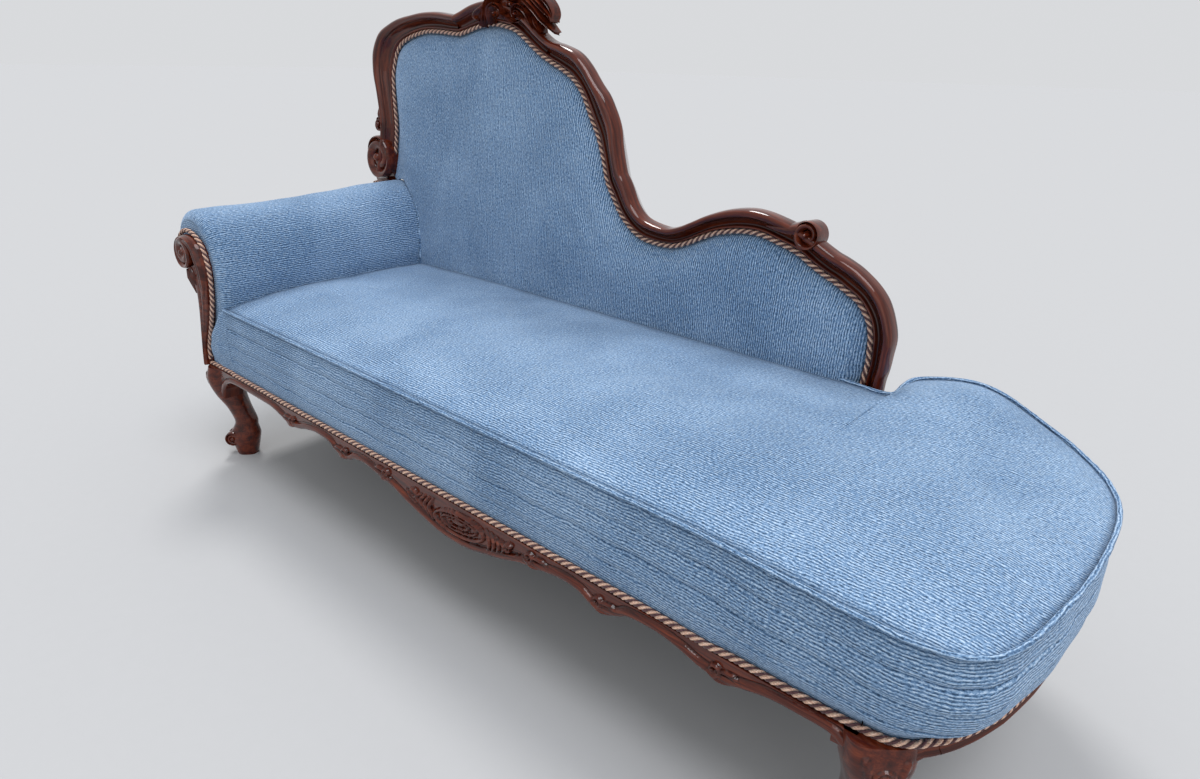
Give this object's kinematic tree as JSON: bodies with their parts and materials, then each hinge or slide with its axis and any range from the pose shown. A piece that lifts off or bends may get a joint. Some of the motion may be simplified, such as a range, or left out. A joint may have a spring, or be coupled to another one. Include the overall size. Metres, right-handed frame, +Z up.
{
  "type": "fainting couch",
  "caption": "Upholstered couch with a carved show-wood backrest that sweeps down from a crest, one rolled arm, a rounded foot end and cabriole legs.",
  "frame": {"origin": "centre of the bounding box's underside, on the floor", "axes": "+X along the couch from the arm to the rounded foot end, +Y from the front edge to the backrest, +Z up"},
  "size_m": [1.9261, 0.687, 1.1169],
  "materials": {
    "mahogany": "gloss lacquer",
    "frame_wood": "bare",
    "steel": "plain",
    "chenille": "ribbed pile",
    "rope_cord": "twisted yarns",
    "webbing": "woven",
    "foam": "open cell"
  },
  "bodies": {
    "root": {"front_apron": "mahogany", "foot_end_apron": "mahogany", "head_apron": "mahogany", "rear_rail": "mahogany", "cross_rails": "frame_wood", "corner_blocks": "frame_wood", "block_screws": "steel", "front_left_leg": "mahogany", "front_right_leg": "mahogany", "rear_left_leg": "mahogany", "rear_right_leg": "mahogany", "left_stile": "mahogany", "crest_rail": "mahogany", "crest_carving": "mahogany", "sweep_rail": "mahogany", "sweep_scroll": "mahogany", "end_rail": "mahogany", "back_bottom_rail": "frame_wood", "back_slat": "frame_wood", "back_bolts": "steel", "arm_facing": "mahogany", "arm_front_stump": "frame_wood", "arm_rear_stump": "frame_wood", "arm_top_board": "frame_wood", "arm_tack_rail": "frame_wood", "long_webbing": "webbing", "cross_webbing": "webbing", "lower_foam": "foam", "upper_foam": "foam", "seat_cover": "chenille", "seat_welt": "chenille", "back_webbing": "webbing", "back_foam": "foam", "inside_back_cover": "chenille", "outside_back_cover": "chenille", "arm_webbing": "webbing", "arm_foam": "foam", "inside_arm_cover": "chenille", "outside_arm_cover": "chenille", "dust_cover": "webbing", "back_cord": "rope_cord", "arm_cord": "rope_cord", "seat_cord": "rope_cord"}
  },
  "joints": []
}
